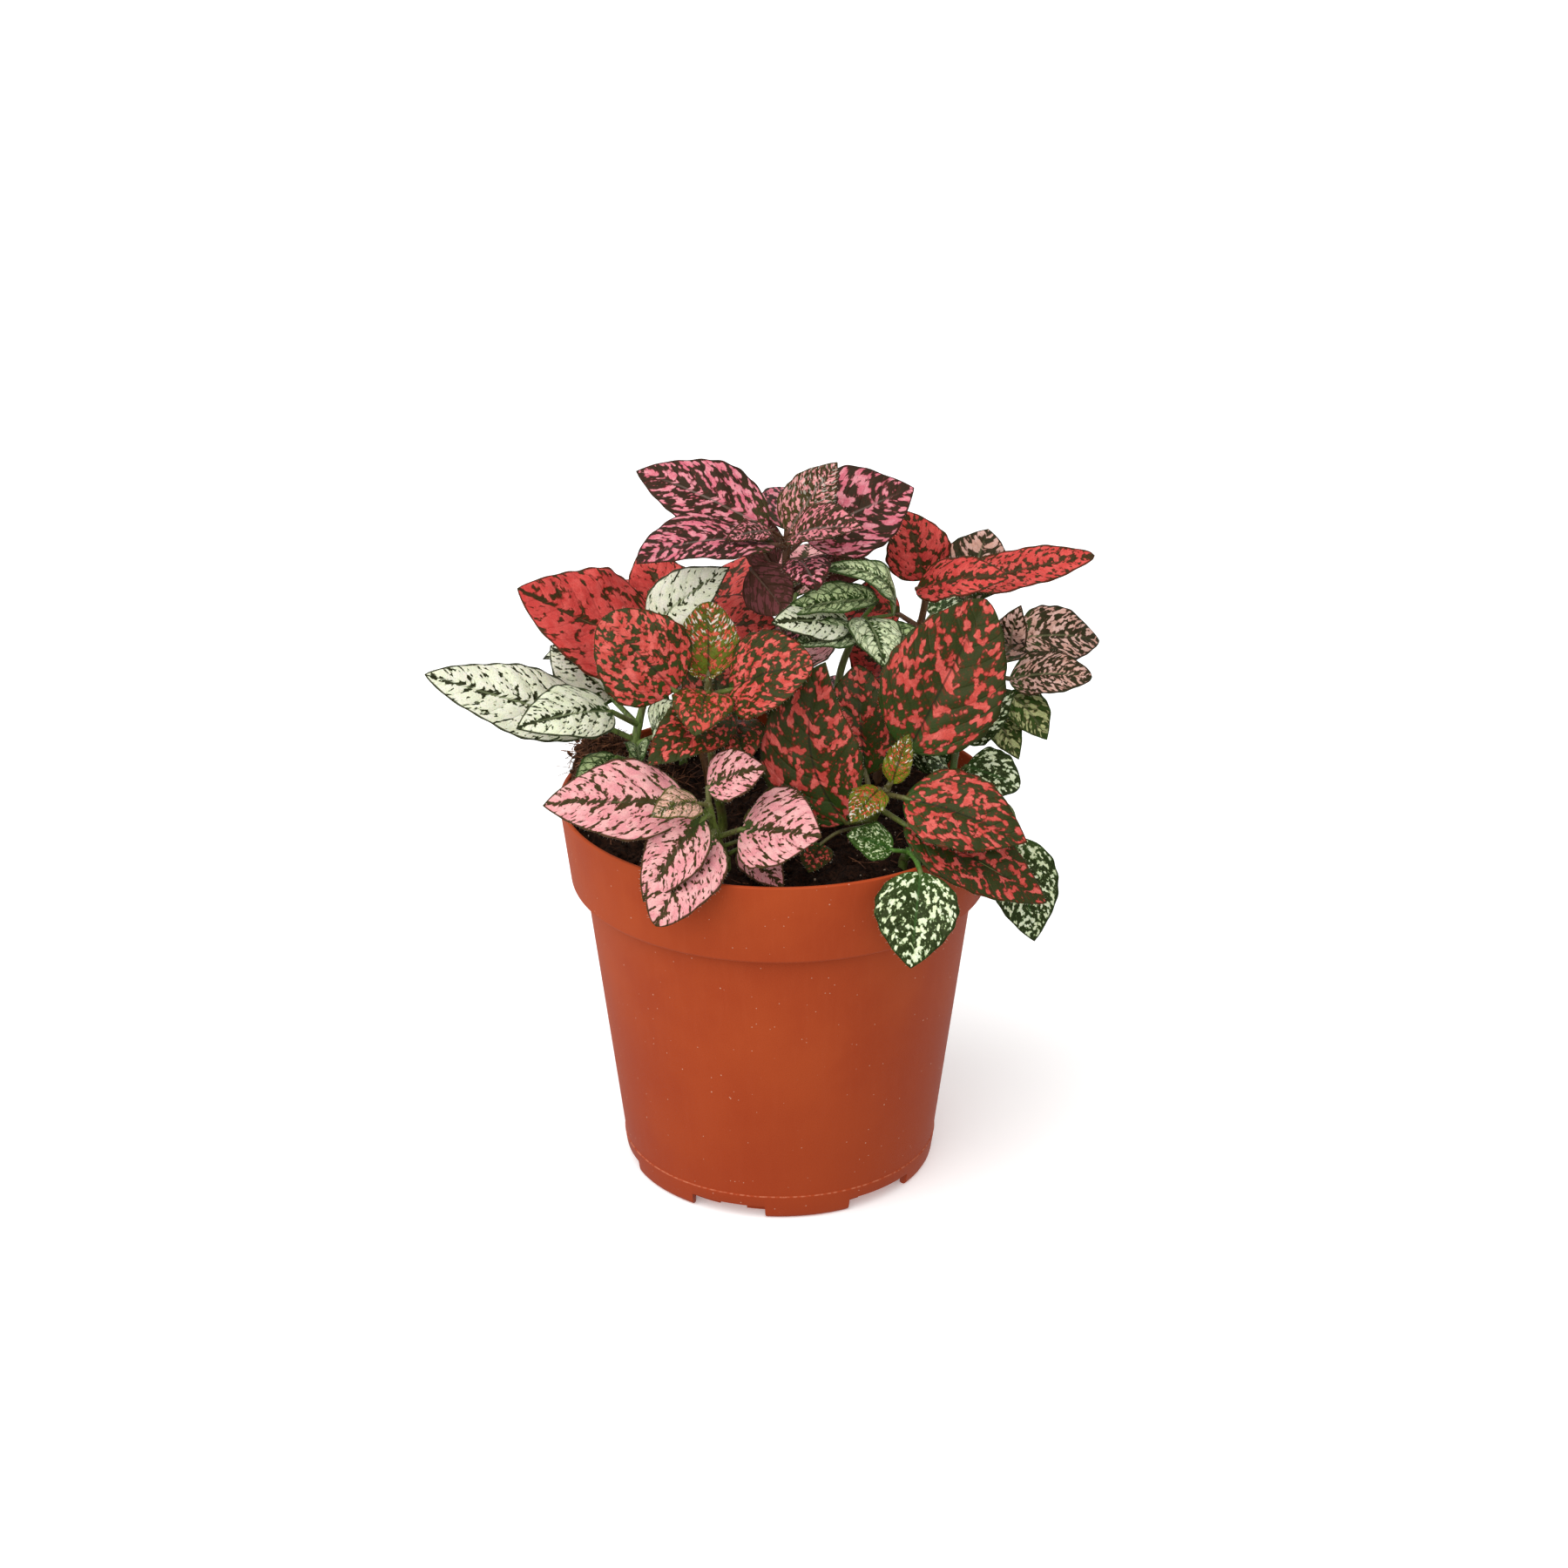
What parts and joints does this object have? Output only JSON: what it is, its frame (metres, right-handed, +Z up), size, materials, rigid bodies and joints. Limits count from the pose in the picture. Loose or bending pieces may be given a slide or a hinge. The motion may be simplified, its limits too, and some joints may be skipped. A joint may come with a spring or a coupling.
{
  "type": "potted polka dot plant",
  "caption": "Round plastic nursery pot of peat soil with a bushy polka dot plant, its pointed oval leaves blotched in mixed pinks, reds, white and green.",
  "frame": {"origin": "middle of the pot's underside, on the surface it stands on", "axes": "+Z up, -Y towards the front of the plant, +X to its right seen from the front"},
  "size_m": [0.1665, 0.1379, 0.1844],
  "materials": {
    "pot_plastic": "terracotta-coloured moulded plastic, soft satin",
    "peat_soil": "dark brown fibrous peat, matte and crumbly",
    "leaf_deep_pink": "living leaf, deep pink blotches on dark grey-green, soft sheen",
    "leaf_red": "living leaf, solid red with dark green patches, soft sheen",
    "leaf_white": "living leaf, cream white with black-green flecks, soft sheen",
    "leaf_red_on_green": "living leaf, coral red blotches on olive green, soft sheen",
    "leaf_light_pink": "living leaf, light pink with dark green branching ribs, soft sheen",
    "leaf_speckled_green": "living leaf, cream speckles on dark green, soft sheen",
    "leaf_dusky_pink": "living leaf, dusky pink patches on dark green, soft sheen"
  },
  "bodies": {
    "root": {"pot": "pot_plastic", "soil": "peat_soil", "leafy_stem_deep_pink": "leaf_deep_pink", "leafy_stem_red_left": "leaf_red", "leafy_stem_white_left": "leaf_white", "leafy_stem_white_middle": "leaf_white", "leafy_stem_red_green_front": "leaf_red_on_green", "leafy_stem_light_pink": "leaf_light_pink", "leafy_stem_red_green_right": "leaf_red_on_green", "leafy_stem_speckled_front": "leaf_speckled_green", "leafy_stem_speckled_right": "leaf_speckled_green", "leafy_stem_red_right": "leaf_red", "leafy_stem_dusky_pink": "leaf_dusky_pink", "leafy_stem_back_white": "leaf_white", "leafy_stem_back_red_green": "leaf_red_on_green", "leafy_stem_back_pink": "leaf_light_pink", "leafy_stem_back_deep_pink": "leaf_deep_pink", "leafy_stem_back_speckled": "leaf_speckled_green"}
  },
  "joints": []
}
